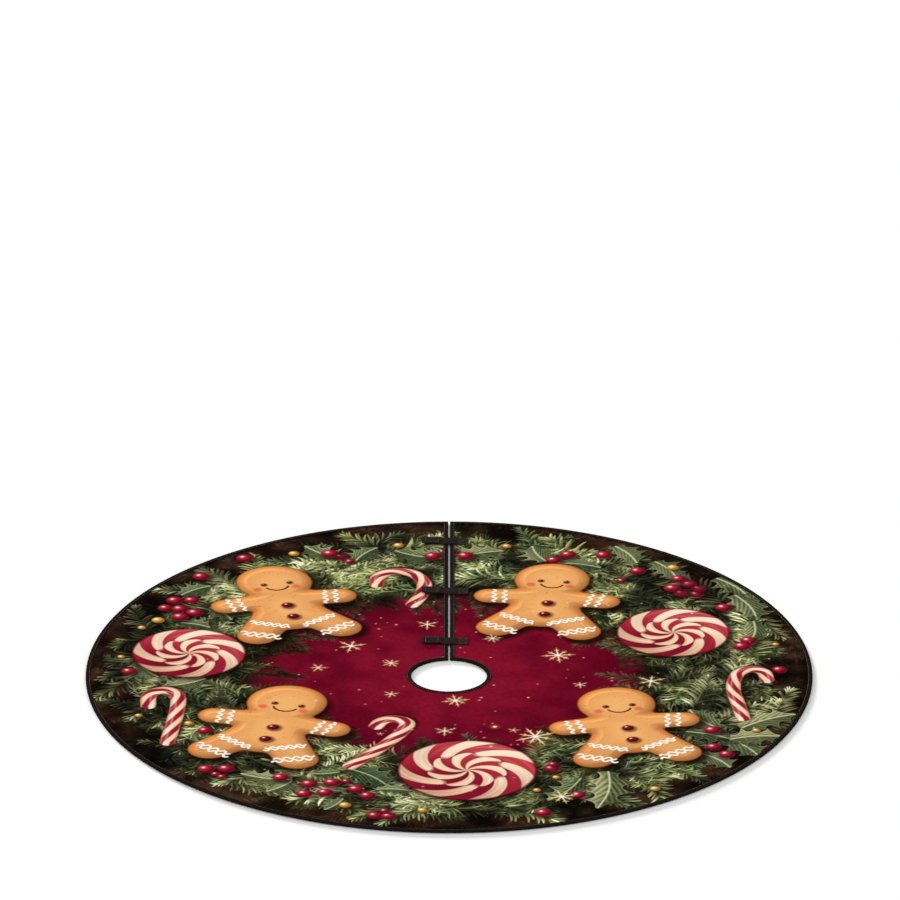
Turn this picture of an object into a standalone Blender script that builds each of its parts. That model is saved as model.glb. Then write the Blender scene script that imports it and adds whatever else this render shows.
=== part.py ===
"""A round Christmas tree skirt that lies flat on the floor, in metres, +Z up.

The origin is the centre of the trunk hole, on the floor. The slit runs from the
hole to the rim along +Y, so -Y is the front. Two layers of cloth, a printed face
over a plain lining, are held between folded binding tapes at the rim, the trunk
hole and both edges of the slit. Three hook and loop straps close the slit.

Cloth bends anywhere, and the solids are stiff, so the quarter that is folded back
to let a trunk in, the leaf, is divided from the rest along its fold line. The
straps are divided from their sewn ends in the same way.
"""

import math

import bmesh
import bpy
from mathutils import Matrix, Vector

# The disc.
SKIRT_RADIUS = 0.610
HOLE_RADIUS = 0.0635
SLIT_WIDTH = 0.003
LEAF_ANGLE = math.radians(90)
FOLD_GAP = 0.0006

# Layers, from the floor up.
TAPE = 0.0006
LINING = 0.0009
FACE = 0.0008
BINDING_WIDTH = 0.008

# Straps.
STRAP_COUNT = 3
STRAP_WIDTH = 0.025
STRAP_THICKNESS = 0.0010
STRAP_TIP = 0.005
SEWN_LENGTH = 0.018
FIRST_STRAP_FROM_HOLE = 0.070
LAST_STRAP_FROM_RIM = 0.080

# Hook and loop patches.
PATCH_LENGTH = 0.025
PATCH_MARGIN = 0.002
PATCH_FROM_BINDING = 0.007
LOOP = 0.0012
HOOK = 0.0010

# What every fit shares.
GAP = 0.0003
SEAM_MARGIN = 0.005
FACET_SAG = 0.00015

# Heights that follow from the layers.
LINING_BOTTOM = TAPE + GAP
FACE_BOTTOM = LINING_BOTTOM + LINING + GAP
FACE_TOP = FACE_BOTTOM + FACE
BINDING_TOP = FACE_TOP + GAP + TAPE
ON_FACE = FACE_TOP + GAP
ON_BINDING = BINDING_TOP + GAP
HOOK_BOTTOM = ON_FACE + LOOP + GAP
ON_HOOK = HOOK_BOTTOM + HOOK + GAP

# Azimuths, from +X towards +Y.
SLIT = math.radians(90)
FOLD = SLIT - LEAF_ANGLE

# The two parts of the disc, anticlockwise from start to end; side is the side of
# the slit that a part lies on.
MAIN = {"start": SLIT, "end": FOLD + math.tau, "slit_first": True, "side": -1}
LEAF = {"start": FOLD, "end": SLIT, "slit_first": False, "side": 1}

# Distances from the slit's middle line.
BINDING_EDGE = SLIT_WIDTH / 2 + BINDING_WIDTH
CLOTH_EDGE = SLIT_WIDTH / 2 + TAPE + GAP
STRAP_LINE = BINDING_EDGE + SEAM_MARGIN
PATCH_START = BINDING_EDGE + PATCH_FROM_BINDING
STRAP_END = PATCH_START + PATCH_LENGTH + STRAP_TIP


def clear_scene():
    """Removes every object, so the script can run in an open file."""
    for thing in list(bpy.data.objects):
        bpy.data.objects.remove(thing, do_unlink=True)


def make_collection(name):
    collection = bpy.data.collections.new(name)
    bpy.context.scene.collection.children.link(collection)
    return collection


def make_material(name, colour, roughness):
    material = bpy.data.materials.new(name)
    material.use_nodes = True
    shader = material.node_tree.nodes["Principled BSDF"]
    shader.inputs["Base Color"].default_value = (*colour, 1.0)
    shader.inputs["Roughness"].default_value = roughness
    shader.inputs["Metallic"].default_value = 0.0
    material.diffuse_color = (*colour, 1.0)
    return material


def facets(radius, angle):
    """How many straight facets keep an arc within FACET_SAG of its true round."""
    step = 2 * math.acos(1 - FACET_SAG / radius)
    return max(1, math.ceil(abs(angle) / step))


def arc(radius, start, end):
    """Points along an arc about the origin, both ends included."""
    count = facets(radius, end - start)
    angles = [start + (end - start) * i / count for i in range(count + 1)]
    return [(radius * math.cos(a), radius * math.sin(a)) for a in angles]


def sector_ends(radius, part, slit_inset):
    """Azimuths where an arc of a part meets its two straight edges. The edge at the
    slit is set in by slit_inset, and the edge at the fold by half the fold's gap."""
    first_inset, last_inset = FOLD_GAP / 2, slit_inset
    if part["slit_first"]:
        first_inset, last_inset = last_inset, first_inset
    first = part["start"] + math.asin(first_inset / radius)
    last = part["end"] - math.asin(last_inset / radius)
    return first, last


def add_piece(name, data, material, collection, hinge):
    """Links one sub-part, and hangs it on the empty of its joint if it has one."""
    piece = bpy.data.objects.new(name, data)
    data.materials.append(material)
    collection.objects.link(piece)
    if hinge:
        piece.parent = hinge
        piece.location = -hinge_place(hinge)
    return piece


def hinge_place(hinge):
    """Where a joint's empty stands in the world."""
    place = Vector(hinge.location)
    while hinge.parent:
        hinge = hinge.parent
        place += hinge.location
    return place


def add_hinge(name, place, collection, parent=None):
    """An empty on a joint's axis, which carries the pieces that turn about it."""
    hinge = bpy.data.objects.new(name, None)
    hinge.empty_display_size = 0.02
    collection.objects.link(hinge)
    hinge.location = place
    if parent:
        hinge.parent = parent
        hinge.location = Vector(place) - hinge_place(parent)
    return hinge


def flat_curve(name, outline, thickness):
    """A filled flat outline, thickness deep, with its middle at local z = 0."""
    curve = bpy.data.curves.new(name, "CURVE")
    curve.dimensions = "2D"
    curve.fill_mode = "BOTH"
    curve.extrude = thickness / 2
    spline = curve.splines.new("POLY")
    spline.points.add(len(outline) - 1)
    for point, (x, y) in zip(spline.points, outline):
        point.co = (x, y, 0, 1)
    spline.use_cyclic_u = True
    return curve


def add_sheet(name, bottom, thickness, part, **where):
    """One layer of cloth: a sector of the disc, between the rim and the hole."""
    rim = SKIRT_RADIUS - TAPE - GAP
    hole = HOLE_RADIUS + TAPE + GAP
    outer = arc(rim, *sector_ends(rim, part, CLOTH_EDGE))
    inner = arc(hole, *sector_ends(hole, part, CLOTH_EDGE))
    outline = outer + inner[::-1]
    piece = add_piece(name, flat_curve(name, outline, thickness), **where)
    piece.location.z += bottom + thickness / 2
    return piece


def channel_profile():
    """The folded tape's U, from its closed back to its open lips, as depth, height."""
    return [
        (0, 0),
        (BINDING_WIDTH, 0),
        (BINDING_WIDTH, TAPE),
        (TAPE, TAPE),
        (TAPE, BINDING_TOP - TAPE),
        (BINDING_WIDTH, BINDING_TOP - TAPE),
        (BINDING_WIDTH, BINDING_TOP),
        (0, BINDING_TOP),
    ]


def add_ring_binding(name, radius, inward, part, **where):
    """Folded tape round part of the rim (lips inward) or of the trunk hole."""
    side = -1 if inward else 1
    nearest = radius - BINDING_WIDTH if inward else radius
    first, last = sector_ends(nearest, part, SLIT_WIDTH / 2)
    shape = bmesh.new()
    turn = Matrix.Rotation(first, 4, "Z")
    corners = [
        shape.verts.new(turn @ Vector((radius + side * depth, 0, height)))
        for depth, height in channel_profile()
    ]
    profile = shape.faces.new(corners)
    bmesh.ops.spin(
        shape,
        geom=[profile, *profile.edges, *profile.verts],
        axis=(0, 0, 1),
        cent=(0, 0, 0),
        angle=last - first,
        steps=facets(radius, last - first),
        use_duplicate=False,
    )
    bmesh.ops.recalc_face_normals(shape, faces=shape.faces)
    mesh = bpy.data.meshes.new(name)
    shape.to_mesh(mesh)
    shape.free()
    return add_piece(name, mesh, **where)


def add_slit_binding(name, side, **where):
    """Folded tape on one edge of the slit, with its lips away from the slit."""
    start = HOLE_RADIUS + BINDING_WIDTH + GAP
    lips = SKIRT_RADIUS - BINDING_WIDTH - GAP
    end = math.sqrt(lips**2 - BINDING_EDGE**2)
    outline = [
        (side * (SLIT_WIDTH / 2 + depth), height)
        for depth, height in channel_profile()
    ]
    piece = add_piece(name, flat_curve(name, outline, end - start), **where)
    piece.rotation_euler.x = math.pi / 2
    piece.location.y += (start + end) / 2
    return piece


def add_strap_solid(name, underside, middle, **where):
    """A length of strap whose underside follows points across the slit."""
    top = [(x, z + STRAP_THICKNESS) for x, z in underside]
    outline = underside + top[::-1]
    piece = add_piece(name, flat_curve(name, outline, STRAP_WIDTH), **where)
    piece.rotation_euler.x = math.pi / 2
    piece.location.y += middle
    return piece


def add_patch(name, bottom, thickness, middle, **where):
    """A rectangle of hook or loop tape on the far side of the slit."""
    width = STRAP_WIDTH - 2 * PATCH_MARGIN
    shape = bmesh.new()
    bmesh.ops.create_cube(shape, size=1.0)
    bmesh.ops.scale(shape, vec=(PATCH_LENGTH, width, thickness), verts=shape.verts)
    mesh = bpy.data.meshes.new(name)
    shape.to_mesh(mesh)
    shape.free()
    piece = add_piece(name, mesh, **where)
    across = -(PATCH_START + PATCH_LENGTH / 2)
    piece.location += Vector((across, middle, bottom + thickness / 2))
    return piece


def strap_underside():
    """From the sewn line, up over both bindings, then up onto the hook patch."""
    return [
        (STRAP_LINE - GAP / 2, ON_FACE),
        (BINDING_EDGE + GAP, ON_BINDING),
        (-(BINDING_EDGE + GAP), ON_BINDING),
        (-(PATCH_START - GAP), ON_HOOK),
        (-STRAP_END, ON_HOOK),
    ]


def sewn_underside():
    """The short end that lies on the leaf and is stitched through it."""
    start = STRAP_LINE + GAP / 2
    return [(start + SEWN_LENGTH, ON_FACE), (start, ON_FACE)]


def strap_middles():
    """How far along the slit each strap's middle line lies."""
    first = HOLE_RADIUS + FIRST_STRAP_FROM_HOLE
    last = SKIRT_RADIUS - LAST_STRAP_FROM_RIM
    spacing = (last - first) / (STRAP_COUNT - 1)
    return [first + spacing * i for i in range(STRAP_COUNT)]


def build_cloth(name, part, materials, **where):
    """The two cloths and three bindings of the main part or of the leaf."""
    add_sheet(f"lining_{name}", LINING_BOTTOM, LINING, part,
              material=materials["lining"], **where)
    add_sheet(f"face_cloth_{name}", FACE_BOTTOM, FACE, part,
              material=materials["face"], **where)
    add_ring_binding(f"rim_binding_{name}", SKIRT_RADIUS, True, part,
                     material=materials["tape"], **where)
    add_ring_binding(f"hole_binding_{name}", HOLE_RADIUS, False, part,
                     material=materials["tape"], **where)
    add_slit_binding(f"slit_binding_{name}", part["side"],
                     material=materials["tape"], **where)


def build_strap(number, middle, materials, leaf_hinge, collection):
    """One closing strap, its sewn end, and its hook and loop patches."""
    add_strap_solid(f"strap_{number}_sewn_end", sewn_underside(), middle,
                    material=materials["strap"], collection=collection, hinge=leaf_hinge)
    place = (STRAP_LINE, middle, ON_FACE + STRAP_THICKNESS)
    hinge = add_hinge(f"strap_{number}_hinge", place, collection, leaf_hinge)
    add_strap_solid(f"strap_{number}", strap_underside(), middle,
                    material=materials["strap"], collection=collection, hinge=hinge)
    add_patch(f"hook_patch_{number}", HOOK_BOTTOM, HOOK, middle,
              material=materials["hook"], collection=collection, hinge=hinge)
    add_patch(f"loop_patch_{number}", ON_FACE, LOOP, middle,
              material=materials["loop"], collection=collection, hinge=None)


def main():
    clear_scene()
    skirt = make_collection("tree_skirt")
    materials = {
        "face": make_material("printed_face", (0.10, 0.05, 0.035), 0.75),
        "lining": make_material("plain_lining", (0.30, 0.27, 0.24), 0.85),
        "tape": make_material("binding_tape", (0.012, 0.009, 0.008), 0.70),
        "strap": make_material("strap_webbing", (0.020, 0.014, 0.012), 0.75),
        "hook": make_material("hook_tape", (0.030, 0.022, 0.020), 0.60),
        "loop": make_material("loop_tape", (0.030, 0.022, 0.020), 0.90),
    }
    leaf_hinge = add_hinge("leaf_hinge", (0, 0, BINDING_TOP), skirt)
    build_cloth("main", MAIN, materials, collection=skirt, hinge=None)
    build_cloth("leaf", LEAF, materials, collection=skirt, hinge=leaf_hinge)
    for number, middle in enumerate(strap_middles(), start=1):
        build_strap(number, middle, materials, leaf_hinge, skirt)


main()
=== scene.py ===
"""The looks of the tree skirt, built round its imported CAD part, in metres, +Z up.

The face cloth carries its print as a colour on each point of a fine mesh. The
print is painted here, on a raster, from seeded noise and a few kinds of shapes:
fir sprays, holly, berries, sweets and gingerbread men. Tapes, straps, patches and
threads are swept or repeated along the edges that the CAD part gives them.
"""

import math

import bpy
import numpy as np
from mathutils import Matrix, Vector

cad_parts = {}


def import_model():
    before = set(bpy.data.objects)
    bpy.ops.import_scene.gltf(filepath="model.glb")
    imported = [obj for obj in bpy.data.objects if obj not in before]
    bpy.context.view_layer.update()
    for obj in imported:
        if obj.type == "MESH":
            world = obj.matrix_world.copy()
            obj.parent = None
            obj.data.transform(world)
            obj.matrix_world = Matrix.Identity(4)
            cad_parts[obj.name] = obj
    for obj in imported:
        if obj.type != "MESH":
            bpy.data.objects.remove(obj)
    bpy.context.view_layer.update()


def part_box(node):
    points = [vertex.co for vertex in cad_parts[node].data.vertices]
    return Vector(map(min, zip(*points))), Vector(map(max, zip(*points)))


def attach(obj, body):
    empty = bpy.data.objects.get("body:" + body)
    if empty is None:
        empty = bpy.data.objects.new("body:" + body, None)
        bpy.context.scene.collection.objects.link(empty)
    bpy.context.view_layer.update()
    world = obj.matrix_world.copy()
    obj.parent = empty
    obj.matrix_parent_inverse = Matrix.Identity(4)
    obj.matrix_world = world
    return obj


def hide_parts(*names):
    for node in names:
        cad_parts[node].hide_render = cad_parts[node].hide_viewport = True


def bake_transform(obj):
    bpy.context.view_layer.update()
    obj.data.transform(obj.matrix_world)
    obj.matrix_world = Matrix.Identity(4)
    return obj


# The disc and its slit, as the CAD part has them.
RADIUS = 0.610
HOLE_RADIUS = 0.0635
SLIT_WIDTH = 0.003
BINDING_WIDTH = 0.008
TAPE = 0.0006
STRAP_WIDTH = 0.025

# The gap between a strap and the slit's binding under it.
STRAP_GAP = 0.0003

# The print's raster and the cloths' meshes.
RASTER = 0.001  # of the radius
FACE_SKIP = 2  # pixels of the raster for one point of the cloth
FACE_STEP = FACE_SKIP * RASTER * RADIUS
LINING_STEP = 0.003
LINING_SAG = 0.00005
WAVE = 0.0004
PUCKER = 0.00012
PRINT_SEED, PATCH_SEED = 24, 7

# The steps of the tapes along their edges, finer on the leaf.
SLIT_STEP, RIM_STEP, HOLE_STEP = 0.005, 0.004, 0.003
LEAF_RIM_STEP, LEAF_HOLE_STEP = 0.002, 0.0015

# Threads.
STITCH, SHORT_STITCH = 0.0027, 0.0022
STITCH_GAP = 0.0008
THREAD = 0.00026
SEAM_IN = 0.0064

# Hook and loop patches.
GROUND = 0.0005
PATCH_RIM = 0.0008
HOOK_START, HOOK_ROW, HOOK_COLUMN = 0.0012, 0.0011, 0.0014
HOOK_STEM, HOOK_BEND, HOOK_THICK = 0.00026, 0.00016, 0.00007
LOOPS, LOOP_REACH, LOOP_RISE, LOOP_THICK = 1500, 0.00035, 0.00055, 0.00005

# How bright white paper would be in this light, for setting the print's colours.
PAPER_LIGHT = 1.10


# ---------------------------------------------------------------- the print


def tone(red, green, blue):
    """A colour of the print, in display values from 0 to 255."""
    return np.array((red, green, blue), np.float32) / 255


def clamp(value):
    return np.clip(value, 0, 1)


def smooth(low, high, value):
    """0 at low, 1 at high, eased between them; low may be the larger."""
    t = clamp((value - low) / (high - low))
    return t * t * (3 - 2 * t)


def mix(first, second, share):
    return first + (second - first) * share


def tint(first, second, share):
    """Two colours mixed by a share for each pixel."""
    return mix(first, second, share[..., None])


def polar(far, way):
    return far * math.cos(way), far * math.sin(way)


def heading_to(x, y, tip_x, tip_y):
    """The heading and the length of a line from its two ends."""
    return math.atan2(tip_y - y, tip_x - x), math.hypot(tip_x - x, tip_y - y)


def travelled(line):
    """The distance along a line of points, at each of its points."""
    return np.concatenate([[0], np.cumsum(np.hypot(*np.diff(line, axis=0).T))])


WINE, WINE_DEEP, WINE_LIT = tone(128, 18, 41), tone(94, 6, 29), tone(146, 28, 52)
EARTH, EARTH_DARK, EARTH_LIT = tone(38, 26, 18), tone(17, 9, 4), tone(94, 78, 58)
PINE_BLACK, PINE_DARK, PINE = tone(9, 11, 5), tone(32, 37, 20), tone(72, 79, 46)
PINE_LIT, PINE_PALE = tone(142, 145, 94), tone(214, 211, 160)
HOLLY_DEEP, HOLLY_TEAL, HOLLY_PALE = tone(20, 38, 26), tone(52, 82, 56), tone(168, 172, 118)
BERRY_DARK, BERRY, BERRY_LIT = tone(62, 2, 18), tone(150, 20, 44), tone(216, 74, 90)
GOLD_DARK, GOLD, GOLD_LIT = tone(112, 66, 18), tone(206, 146, 48), tone(255, 236, 168)
BREAD, BREAD_EDGE, BREAD_DARK = tone(242, 178, 108), tone(194, 118, 58), tone(112, 58, 26)
CREAM, CREAM_SHADE, CREAM_LOW = tone(250, 232, 202), tone(240, 202, 160), tone(190, 134, 104)
CANDY, CANDY_DARK, CANDY_LIT = tone(180, 40, 58), tone(112, 10, 34), tone(228, 116, 112)
ICING, CHOCOLATE, CHEEK = tone(255, 250, 236), tone(64, 26, 20), tone(228, 98, 74)
LIGHT_FROM = math.radians(125)


class Print:
    """The picture on the face cloth, painted on a raster that covers a disc of radius 1.

    Everything is placed and sized in shares of the disc's radius, x to the right
    and y to the back. Shapes are laid one over the other, each through a cover
    from 0 to 1, the way opaque paint is."""

    def __init__(self, step, seed):
        self.step = step
        self.random = np.random.default_rng(seed)
        self.axis = np.arange(-1.0, 1.0 + step, step, dtype=np.float32)
        self.ink = np.zeros((len(self.axis), len(self.axis), 3), np.float32)

    def window(self, x, y, reach, turn=0.0):
        """The part of the raster within reach of a point, and the places of its
        pixels seen from that point, along and across a direction."""
        columns = slice(*np.searchsorted(self.axis, (x - reach, x + reach)))
        rows = slice(*np.searchsorted(self.axis, (y - reach, y + reach)))
        east = (self.axis[columns] - x)[None, :]
        north = (self.axis[rows] - y)[:, None]
        cosine, sine = math.cos(turn), math.sin(turn)
        return (rows, columns), east * cosine + north * sine, north * cosine - east * sine

    def disc(self, x, y, radius, reach):
        """A window on a round shape: the places of its pixels and their distance
        from its middle, all in shares of its radius, like reach."""
        place, east, north = self.window(x, y, radius * reach)
        east, north = east / radius, north / radius
        return place, east, north, np.hypot(east, north)

    def window_along(self, x, y, heading, length, reach):
        """A window on a shape that runs from a point along a heading, seen from its
        middle, with the share of its length that each pixel is at."""
        middle_x = x + math.cos(heading) * length / 2
        middle_y = y + math.sin(heading) * length / 2
        place, along, across = self.window(middle_x, middle_y, reach, heading)
        return place, along, across, clamp(along / length + 0.5)

    def lay(self, place, colour, cover):
        patch = self.ink[place]
        patch += (colour - patch) * cover[..., None]

    def edge(self, depth):
        """Cover of a shape, from its depth inside its outline, with a soft edge."""
        return clamp(depth / self.step + 0.5)

    def cloud(self, cells):
        """Smooth seeded noise from 0 to 1 over the whole raster."""
        grid = self.random.random((cells + 3, cells + 3)).astype(np.float32)
        spots = np.linspace(0, cells, len(self.axis))
        whole = spots.astype(int)
        share = smooth(0, 1, spots - whole).astype(np.float32)
        rows = mix(grid[whole], grid[whole + 1], share[:, None])
        return mix(rows[:, whole], rows[:, whole + 1], share[None, :])

    def needle(self, x, y, heading, length, width, base, tip, bend=0.0):
        """One tapered, slightly bent stroke, lighter on the side of the light."""
        place, along, across, share = self.window_along(x, y, heading, length, length / 2)
        if not along.size or not across.size:
            return
        half = width * share**0.45 * (1 - share) ** 0.7
        off = across - bend * length * 4 * share * (1 - share)
        lit = 0.16 * np.sign(off) * math.sin(LIGHT_FROM - heading)
        colour = tint(base, tip, share) * (1 + lit[..., None])
        self.lay(place, colour, self.edge(half - np.abs(off)) * (half > 0))

    def sprig(self, x, y, heading, length, tones, rows, spread, curl=0.0):
        """A fir spray: a bending stalk with two combs of needles that shorten to its tip."""
        dark, middle, light = tones
        step = length / rows
        for row in range(rows):
            share = (row + 0.5) / rows
            x += math.cos(heading) * step
            y += math.sin(heading) * step
            heading += curl / rows
            size = length * spread * min(1.0, 0.55 + 2 * share) * (1.05 - 0.6 * share)
            for side in (-1, 1):
                lean = side * (1.0 - 0.55 * share) + self.random.normal(0, 0.09)
                way = heading + lean
                facing = 0.5 + 0.5 * math.cos(way - LIGHT_FROM)
                glint = clamp(facing * 0.8 + self.random.normal(0.0, 0.28))
                long = size * self.random.uniform(0.8, 1.2)
                self.needle(x, y, way, long, 0.42 * step, mix(dark, middle, glint * 0.8),
                            mix(middle, light, glint), -side * self.random.uniform(0.04, 0.13))
        self.needle(x, y, heading, length * 0.16, length * 0.03, middle, light)

    def holly(self, x, y, heading, length, width, deep, bright, rim):
        """A holly leaf from its stalk: hollows between spines, a pale midrib and rim."""
        place, along, across, share = self.window_along(x, y, heading, length, length * 0.75)
        off = across - 0.07 * length * np.sin(math.pi * share)
        swell = np.abs(np.sin(math.pi * share**0.85))
        spines = 4 * share - 0.15
        spine = 1 - np.abs(np.sin(math.pi * spines)) ** 0.55
        half = width * (0.42 * swell**0.7 + 0.52 * swell**0.4 * spine)
        depth = half - np.abs(off)
        self.lay(place, PINE_BLACK, 0.5 * smooth(-0.018, 0.004, depth))
        vein = np.abs(np.sin(math.pi * (spines - 0.5 * np.abs(off) / width)))
        upper = smooth(-0.1, 0.2, off / width * math.sin(LIGHT_FROM - heading))
        ripple = 0.5 + 0.5 * np.sin(38 * share - 90 * np.abs(off) / length + 3 * upper)
        body = tint(deep, bright, clamp(0.62 * upper + 0.42 * ripple * swell))
        body = tint(body, rim, 0.6 * ripple**3 * (0.3 + 0.7 * upper) * swell)
        body = tint(body, rim, 0.3 * (smooth(0.2, 0.0, vein) * smooth(0, 0.02, depth)))
        body = tint(body, rim, (0.3 + 0.55 * upper) * smooth(0.006, 0.001, depth))
        body = tint(body, rim, smooth(0.0042, 0.001, np.abs(off)))
        self.lay(place, body, self.edge(depth) * (np.abs(along) < length / 2))

    def ball(self, x, y, radius, dark, body, lit, shine=1.0):
        """A glossy berry or bead, with the light at its upper left."""
        place, east, north, away = self.disc(x, y, radius, 2.2)
        shadow = smooth(1.7, 0.8, np.hypot(east - 0.25, north + 0.35))
        self.lay(place, EARTH_DARK, 0.55 * shadow)
        toward = np.hypot(east + 0.32, north - 0.36)
        colour = tint(lit, body, smooth(0.1, 0.75, toward))
        colour = tint(colour, dark, smooth(0.7, 1.35, toward))
        bounce = smooth(0.5, 0.95, away) * smooth(0.9, 1.5, toward) * 0.35
        colour = tint(colour, lit, bounce)
        self.lay(place, colour, self.edge(radius * (1 - away)))
        spot = np.hypot(east + 0.3, (north - 0.38) * 1.2)
        self.lay(place, ICING, shine * smooth(0.3, 0.1, spot))

    def glow(self, x, y, radius, colour, strength):
        place, _, _, away = self.disc(x, y, radius, 1.0)
        self.lay(place, colour, strength * clamp(1 - away) ** 2.2)
        self.lay(place, ICING, strength * smooth(0.3, 0.1, away))

    def flake(self, x, y, radius, arms, colour, turn):
        """A small snow star: fine tapering rays with barbs, and a bright heart."""
        self.glow(x, y, radius * 0.9, GOLD, 0.5)
        for arm in range(arms):
            way = turn + math.tau * arm / arms
            size = radius * (1.0 if arm % 2 == 0 else 0.78)
            self.needle(x, y, way, size, radius * 0.085, ICING, mix(GOLD_LIT, GOLD, 0.3))
            barb_x, barb_y = x + math.cos(way) * size * 0.55, y + math.sin(way) * size * 0.55
            for side in (-1, 1):
                self.needle(barb_x, barb_y, way + side * 0.8, radius * 0.24, radius * 0.06,
                            colour, GOLD)
        self.glow(x, y, radius * 0.24, ICING, 1.0)

    def mint(self, x, y, radius, turn):
        """A pinwheel sweet: seven curved stripes, offset at an inner ring."""
        place, east, north, away = self.disc(x, y, radius, 1.25)
        around = np.arctan2(north, east)
        shadow = smooth(1.16, 0.95, np.hypot(east - 0.02, north + 0.05))
        self.lay(place, EARTH_DARK, 0.7 * shadow)
        sweep = around + 1.8 * away + turn
        ring = 0.53 + 0.05 * np.sin(7 * sweep + 0.6)
        outer = smooth(-0.006, 0.006, away - ring)
        wave = np.sin(7 * sweep + math.pi * outer)
        stripe = smooth(-0.1, 0.1, wave * clamp(away * 6) + 0.05)
        fold = np.where(outer > 0.5, away - ring, away) / np.where(outer > 0.5, 0.47, 0.53)
        light = 0.5 + 0.5 * np.cos(around - math.radians(62))
        cream = tint(CREAM_SHADE, CREAM, clamp(0.35 + 0.75 * light * away + 0.2 * wave))
        fade = clamp(np.cos(7 * sweep + math.pi * outer) * 0.5)
        low = 0.6 * (1 - light) * smooth(0.5, 1.0, away) + 0.45 * fade * (1.2 - light)
        strokes = clamp(np.sin(26 * sweep + 9 * away) + 0.4 * np.sin(47 * sweep))
        cream = tint(cream, CREAM_LOW, clamp(low + 0.3 * strokes * (1 - light)))
        red = tint(CANDY_DARK, CANDY, clamp(0.1 + 0.9 * light + 0.3 * fold - 0.3 * fade))
        streak = clamp(np.sin(9 * sweep + 23 * away) * 0.5 + 0.2)
        sheen = 0.85 * light**2 * smooth(0.25, 0.8, away) * (0.35 + 0.65 * streak)
        red = tint(red, CANDY_LIT, sheen)
        colour = tint(red, cream, stripe)
        crease = smooth(0.05, 0.0, away - ring) * outer * 0.6
        colour = tint(colour, CANDY_DARK, crease)
        seam = smooth(0.15, 0.0, np.abs(wave + 0.05)) * 0.6
        colour = tint(colour, CANDY_DARK, seam)
        colour = tint(colour, BERRY_DARK, 0.75 * smooth(0.955, 1.0, away))
        self.lay(place, colour, self.edge(radius * (1 - away)))
        glint = smooth(0.035, 0.01, np.hypot(east - 0.34, north - 0.8))
        self.lay(place, ICING, 0.8 * glint)

    def cane(self, route, half, lean):
        """A candy cane along a smooth route of points, striped round its length."""
        place, near, travel, side = self.window_round(curve_through(route, 14), 2.5 * half)
        low = np.roll(near, (int(half / self.step * 0.35), int(half / self.step * 0.3)), (0, 1))
        self.lay(place, EARTH_DARK, 0.6 * smooth(half * 1.5, half * 0.7, low))
        across = side / half
        phase = travel / (half * 4.6) + lean * 0.6 * across
        wave = np.sin(math.tau * phase)
        red = smooth(-0.14, 0.06, wave)
        upper = clamp(0.5 - 0.6 * across * lean)
        cream = tint(CREAM_SHADE, CREAM, upper)
        stripe = tint(CANDY_DARK, CANDY, clamp(upper + 0.25))
        colour = tint(cream, stripe, red)
        colour = tint(colour, CREAM_LOW, 0.6 * smooth(0.55, 1.0, np.abs(across)))
        shine = smooth(0.2, 0.0, np.abs(across + 0.3 * lean)) * 0.45
        colour = tint(colour, ICING, shine)
        self.lay(place, colour, self.edge(half - near))

    def window_round(self, line, margin):
        """A window on a line of points, and for each pixel the distance to the line,
        the distance travelled along it, and how far to its left the pixel is."""
        middle = line.mean(axis=0)
        place, east, north = self.window(*middle, np.abs(line - middle).max() + margin)
        starts = travelled(line)
        lengths = np.diff(starts)
        ways = np.diff(line, axis=0) / lengths[:, None]
        near = np.full(np.broadcast(east, north).shape, 9.0, np.float32)
        travel, side = np.zeros_like(near), np.zeros_like(near)
        for (x, y), (dx, dy), long, start in zip(line - middle, ways, lengths, starts):
            along = np.clip((east - x) * dx + (north - y) * dy, 0, long)
            off_x, off_y = east - x - along * dx, north - y - along * dy
            away = np.hypot(off_x, off_y)
            closer = away < near
            near = np.where(closer, away, near)
            travel = np.where(closer, start + along, travel)
            side = np.where(closer, off_y * dx - off_x * dy, side)
        return place, near, travel, side

    def rope(self, line, half, colour, strength):
        """An even line through points, in one colour."""
        place, near, _, _ = self.window_round(line, 2 * half)
        self.lay(place, colour, strength * self.edge(half - near))

    def icing(self, ends, half, waves, swing):
        """A wavy piped line between two ends."""
        shares = np.linspace(0, 1, int(waves * 8) + 1)
        line = mix(*np.array(ends)[:, None], shares[:, None])
        way = np.arctan2(*np.gradient(line, axis=0).T[::-1])
        wave = np.sin(math.tau * waves * shares)
        lift = swing * np.sign(wave) * np.abs(wave) ** 0.6
        line = line + np.stack([-np.sin(way) * lift, np.cos(way) * lift], 1)
        self.rope(line + (0.0012, -0.0022), half * 1.15, BREAD_DARK, 0.45)
        self.rope(line, half, ICING, 1.0)

    def bread(self, x, y, tilt, size):
        """The baked body of a gingerbread man, from the fork of its legs."""
        place, along, across = self.window(x, y, 0.46 * size, math.pi / 2 - tilt)
        up, right = along / size, -across / size
        depth = -bread_outline(right, up) * size
        dim = -bread_outline(right - 0.012, up + 0.018) * size
        self.lay(place, EARTH_DARK, 0.75 * smooth(-0.022, 0.012, dim))
        rise, run = np.gradient(np.clip(depth, 0, 0.03))
        lit = np.clip((run * math.cos(LIGHT_FROM) + rise * math.sin(LIGHT_FROM)) / -self.step, -1, 1)
        inner = 0.75 * smooth(0.0, 0.03, depth) + 0.25 * smooth(0.02, 0.09, depth)
        colour = tint(BREAD_EDGE, BREAD, inner)
        colour = tint(colour, BREAD_EDGE, 0.35 * smooth(0.12, -0.1, up + 0.4 * right))
        colour = colour * (1 + 0.14 * lit)[..., None]
        colour = tint(colour, BREAD_DARK, 0.75 * smooth(0.005, 0.0, depth))
        grain = self.random.random(depth.shape).astype(np.float32)
        colour = colour * (0.975 + 0.05 * grain)[..., None]
        self.lay(place, colour, self.edge(depth))

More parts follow.
